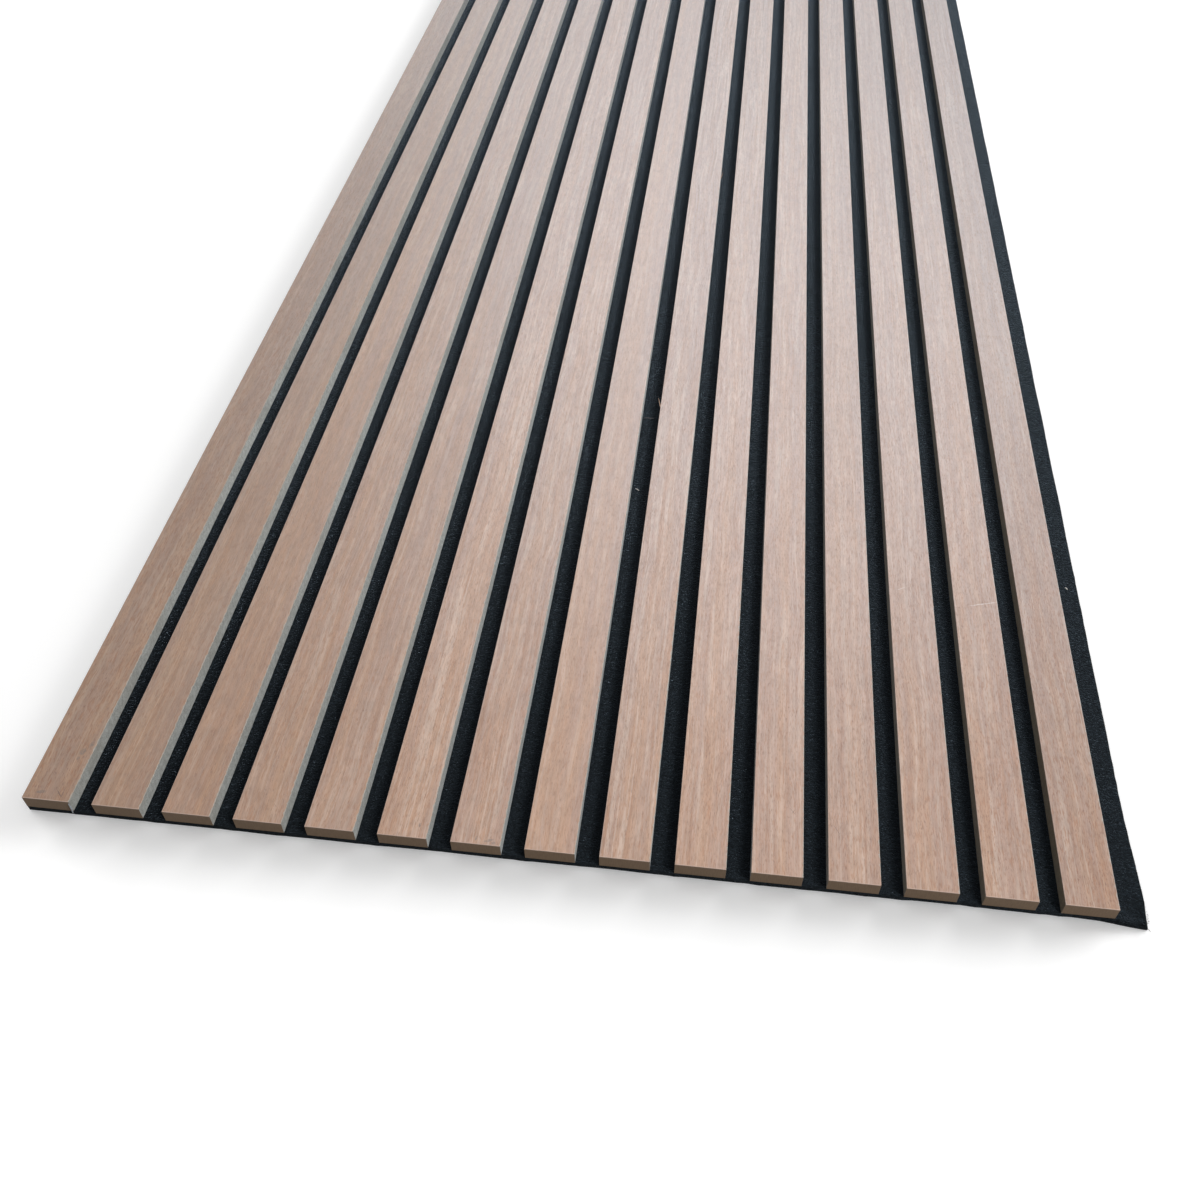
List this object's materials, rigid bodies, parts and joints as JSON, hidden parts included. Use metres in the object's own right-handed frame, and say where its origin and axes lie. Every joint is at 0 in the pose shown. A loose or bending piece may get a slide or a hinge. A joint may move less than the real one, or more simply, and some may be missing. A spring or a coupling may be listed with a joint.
{
  "type": "acoustic slat wall panel",
  "caption": "Long flat wall panel of parallel wood-veneered MDF slats on a dark felt backing, with open gaps between the slats.",
  "frame": {"origin": "middle of the felt's back face, which lies on the wall or the floor", "axes": "+X across the slats towards the bare felt edge, +Y along the slats away from the end nearest the camera, +Z out of the wall, towards the slats' faces"},
  "size_m": [0.602, 2.4, 0.013],
  "materials": {
    "felt": "pressed polyester felt, matt, black-navy, slightly mottled",
    "mdf": "raw sawn fibreboard, matt",
    "oak_veneer": "fine straight-grained pale oak, satin lacquer",
    "staple_wire": "zinc-plated flat wire"
  },
  "bodies": {
    "root": {"felt_backing": "felt", "slat_core_01": "mdf", "slat_core_02": "mdf", "slat_core_03": "mdf", "slat_core_04": "mdf", "slat_core_05": "mdf", "slat_core_06": "mdf", "slat_core_07": "mdf", "slat_core_08": "mdf", "slat_core_09": "mdf", "slat_core_10": "mdf", "slat_core_11": "mdf", "slat_core_12": "mdf", "slat_core_13": "mdf", "slat_core_14": "mdf", "slat_core_15": "mdf", "slat_veneer_01": "oak_veneer", "slat_veneer_02": "oak_veneer", "slat_veneer_03": "oak_veneer", "slat_veneer_04": "oak_veneer", "slat_veneer_05": "oak_veneer", "slat_veneer_06": "oak_veneer", "slat_veneer_07": "oak_veneer", "slat_veneer_08": "oak_veneer", "slat_veneer_09": "oak_veneer", "slat_veneer_10": "oak_veneer", "slat_veneer_11": "oak_veneer", "slat_veneer_12": "oak_veneer", "slat_veneer_13": "oak_veneer", "slat_veneer_14": "oak_veneer", "slat_veneer_15": "oak_veneer", "back_staples": "staple_wire"}
  },
  "joints": []
}
